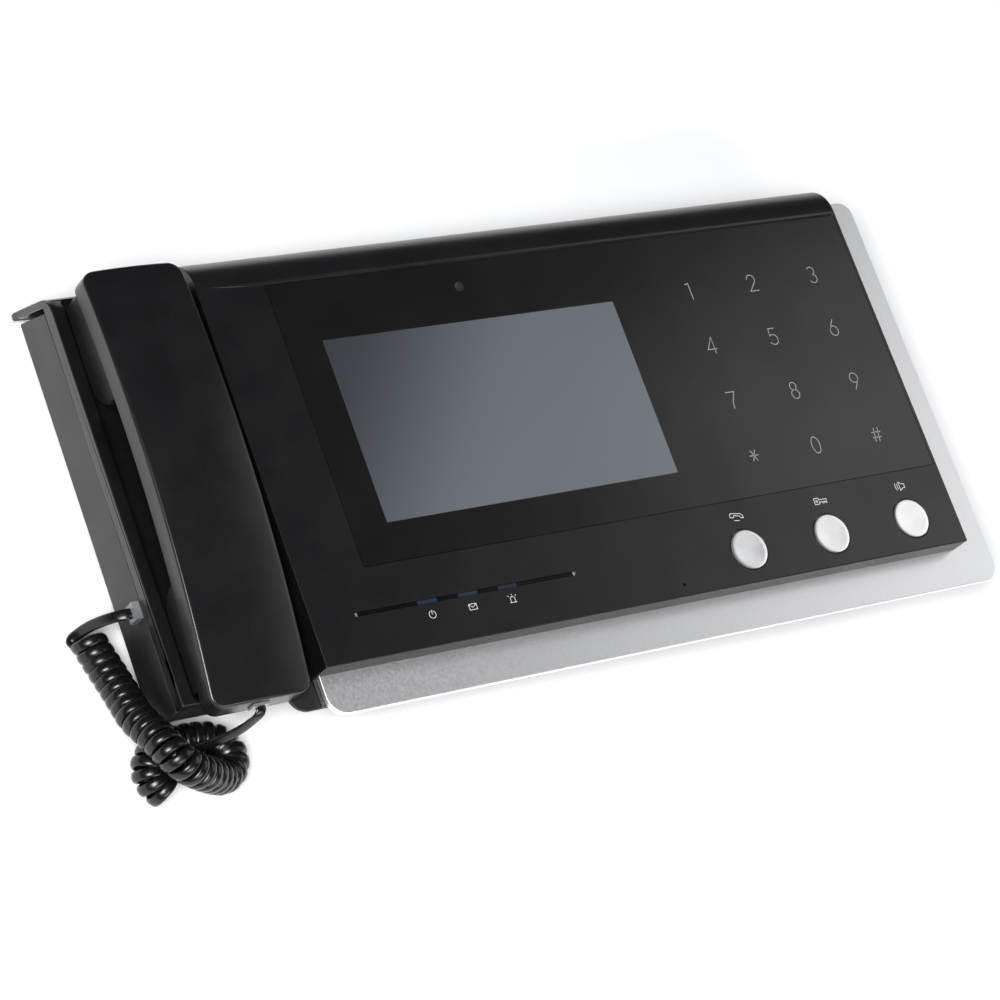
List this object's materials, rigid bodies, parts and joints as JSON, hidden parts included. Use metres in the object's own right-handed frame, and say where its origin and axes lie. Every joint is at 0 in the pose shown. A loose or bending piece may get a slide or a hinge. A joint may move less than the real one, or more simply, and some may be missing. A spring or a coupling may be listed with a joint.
{
  "type": "video intercom monitor",
  "caption": "Wide black video intercom monitor lying on its back, with a touch screen, touch keypad, metal push buttons, silver trim plate, cradle and corded handset",
  "frame": {"origin": "Middle of the wall bracket's pair of wall-box holes in X and Y, which is the middle of the monitor's footprint, on the plane that the rubber pads rest on", "axes": "+X to the right along the face, +Y up the face from the push buttons to the rolled top edge, +Z out of the screen; the monitor lies on its back"},
  "size_m": [0.4541, 0.2326, 0.065],
  "materials": {
    "gloss_black": "glossy injection-moulded ABS, dark grey-black",
    "satin_black": "fine-textured ABS, black",
    "panel_glass": "black-printed cover glass",
    "screen": "idle LCD panel, grey-blue",
    "steel": "zinc-plated pressed steel",
    "silver": "satin anodised aluminium",
    "button_silver": "spun metal with a fine circular brush",
    "board": "glass-epoxy circuit board",
    "soft_black": "matt rubber",
    "light_pipe": "clear moulded light guide",
    "clear": "clear polycarbonate",
    "cream": "nylon socket body",
    "terminal_green": "green terminal moulding",
    "dark_part": "dark moulded component",
    "cord_black": "smooth flexible PVC cord jacket"
  },
  "bodies": {
    "monitor": {"front_cover": "gloss_black", "touch_glass": "panel_glass", "lcd_panel": "screen", "lcd_bracket": "steel", "touch_board": "board", "main_board": "board", "board_shield": "steel", "sensor_lens": "dark_part", "microphone": "steel", "mic_boot": "soft_black", "button_board": "board", "button_switches": "dark_part", "light_bar": "light_pipe", "led_board": "board", "loudspeaker": "dark_part", "speaker_ring": "soft_black", "trim_plate": "silver", "backing_frame": "satin_black", "rear_cover": "satin_black", "wall_bracket": "steel", "rubber_pads": "soft_black", "cradle_cover": "gloss_black", "hook_spring": "steel", "hook_switch": "dark_part", "handset_jack": "cream", "ethernet_jack": "steel", "power_jack": "dark_part", "terminal_block": "terminal_green", "case_screws": "steel", "board_screws": "steel", "bracket_screws": "steel", "base_plug": "clear", "base_lead": "cord_black", "curly_cord": "cord_black", "handset_lead": "cord_black"},
    "call_button": {"call_button": "button_silver"},
    "unlock_button": {"unlock_button": "button_silver"},
    "speaker_button": {"speaker_button": "button_silver"},
    "hook_plunger": {"hook_plunger": "dark_part"},
    "handset": {"handset_front": "gloss_black", "handset_back": "satin_black", "receiver": "dark_part", "handset_mic": "dark_part", "handset_weight": "steel", "handset_socket": "cream", "handset_screws": "steel", "handset_plug": "clear"}
  },
  "joints": [
    {"name": "handset_lift", "type": "slide", "parent": "monitor", "child": "handset", "axis": [0, 0, 1], "range_m": [0, 0.06]},
    {"name": "call_press", "type": "slide", "parent": "monitor", "child": "call_button", "axis": [0, 0, -1], "range_m": [0, 0.0008], "stiffness_N_per_m": 900, "springref_m": -0.0004},
    {"name": "unlock_press", "type": "slide", "parent": "monitor", "child": "unlock_button", "axis": [0, 0, -1], "range_m": [0, 0.0008], "stiffness_N_per_m": 900, "springref_m": -0.0004},
    {"name": "speaker_press", "type": "slide", "parent": "monitor", "child": "speaker_button", "axis": [0, 0, -1], "range_m": [0, 0.0008], "stiffness_N_per_m": 900, "springref_m": -0.0004},
    {"name": "hook_rise", "type": "slide", "parent": "monitor", "child": "hook_plunger", "axis": [0, 0, 1], "range_m": [0, 0.0035], "deforming": ["hook_spring"]}
  ],
  "couplings": [
    {"joint": "hook_rise", "follows": "handset_lift", "ratio": 0.058}
  ]
}
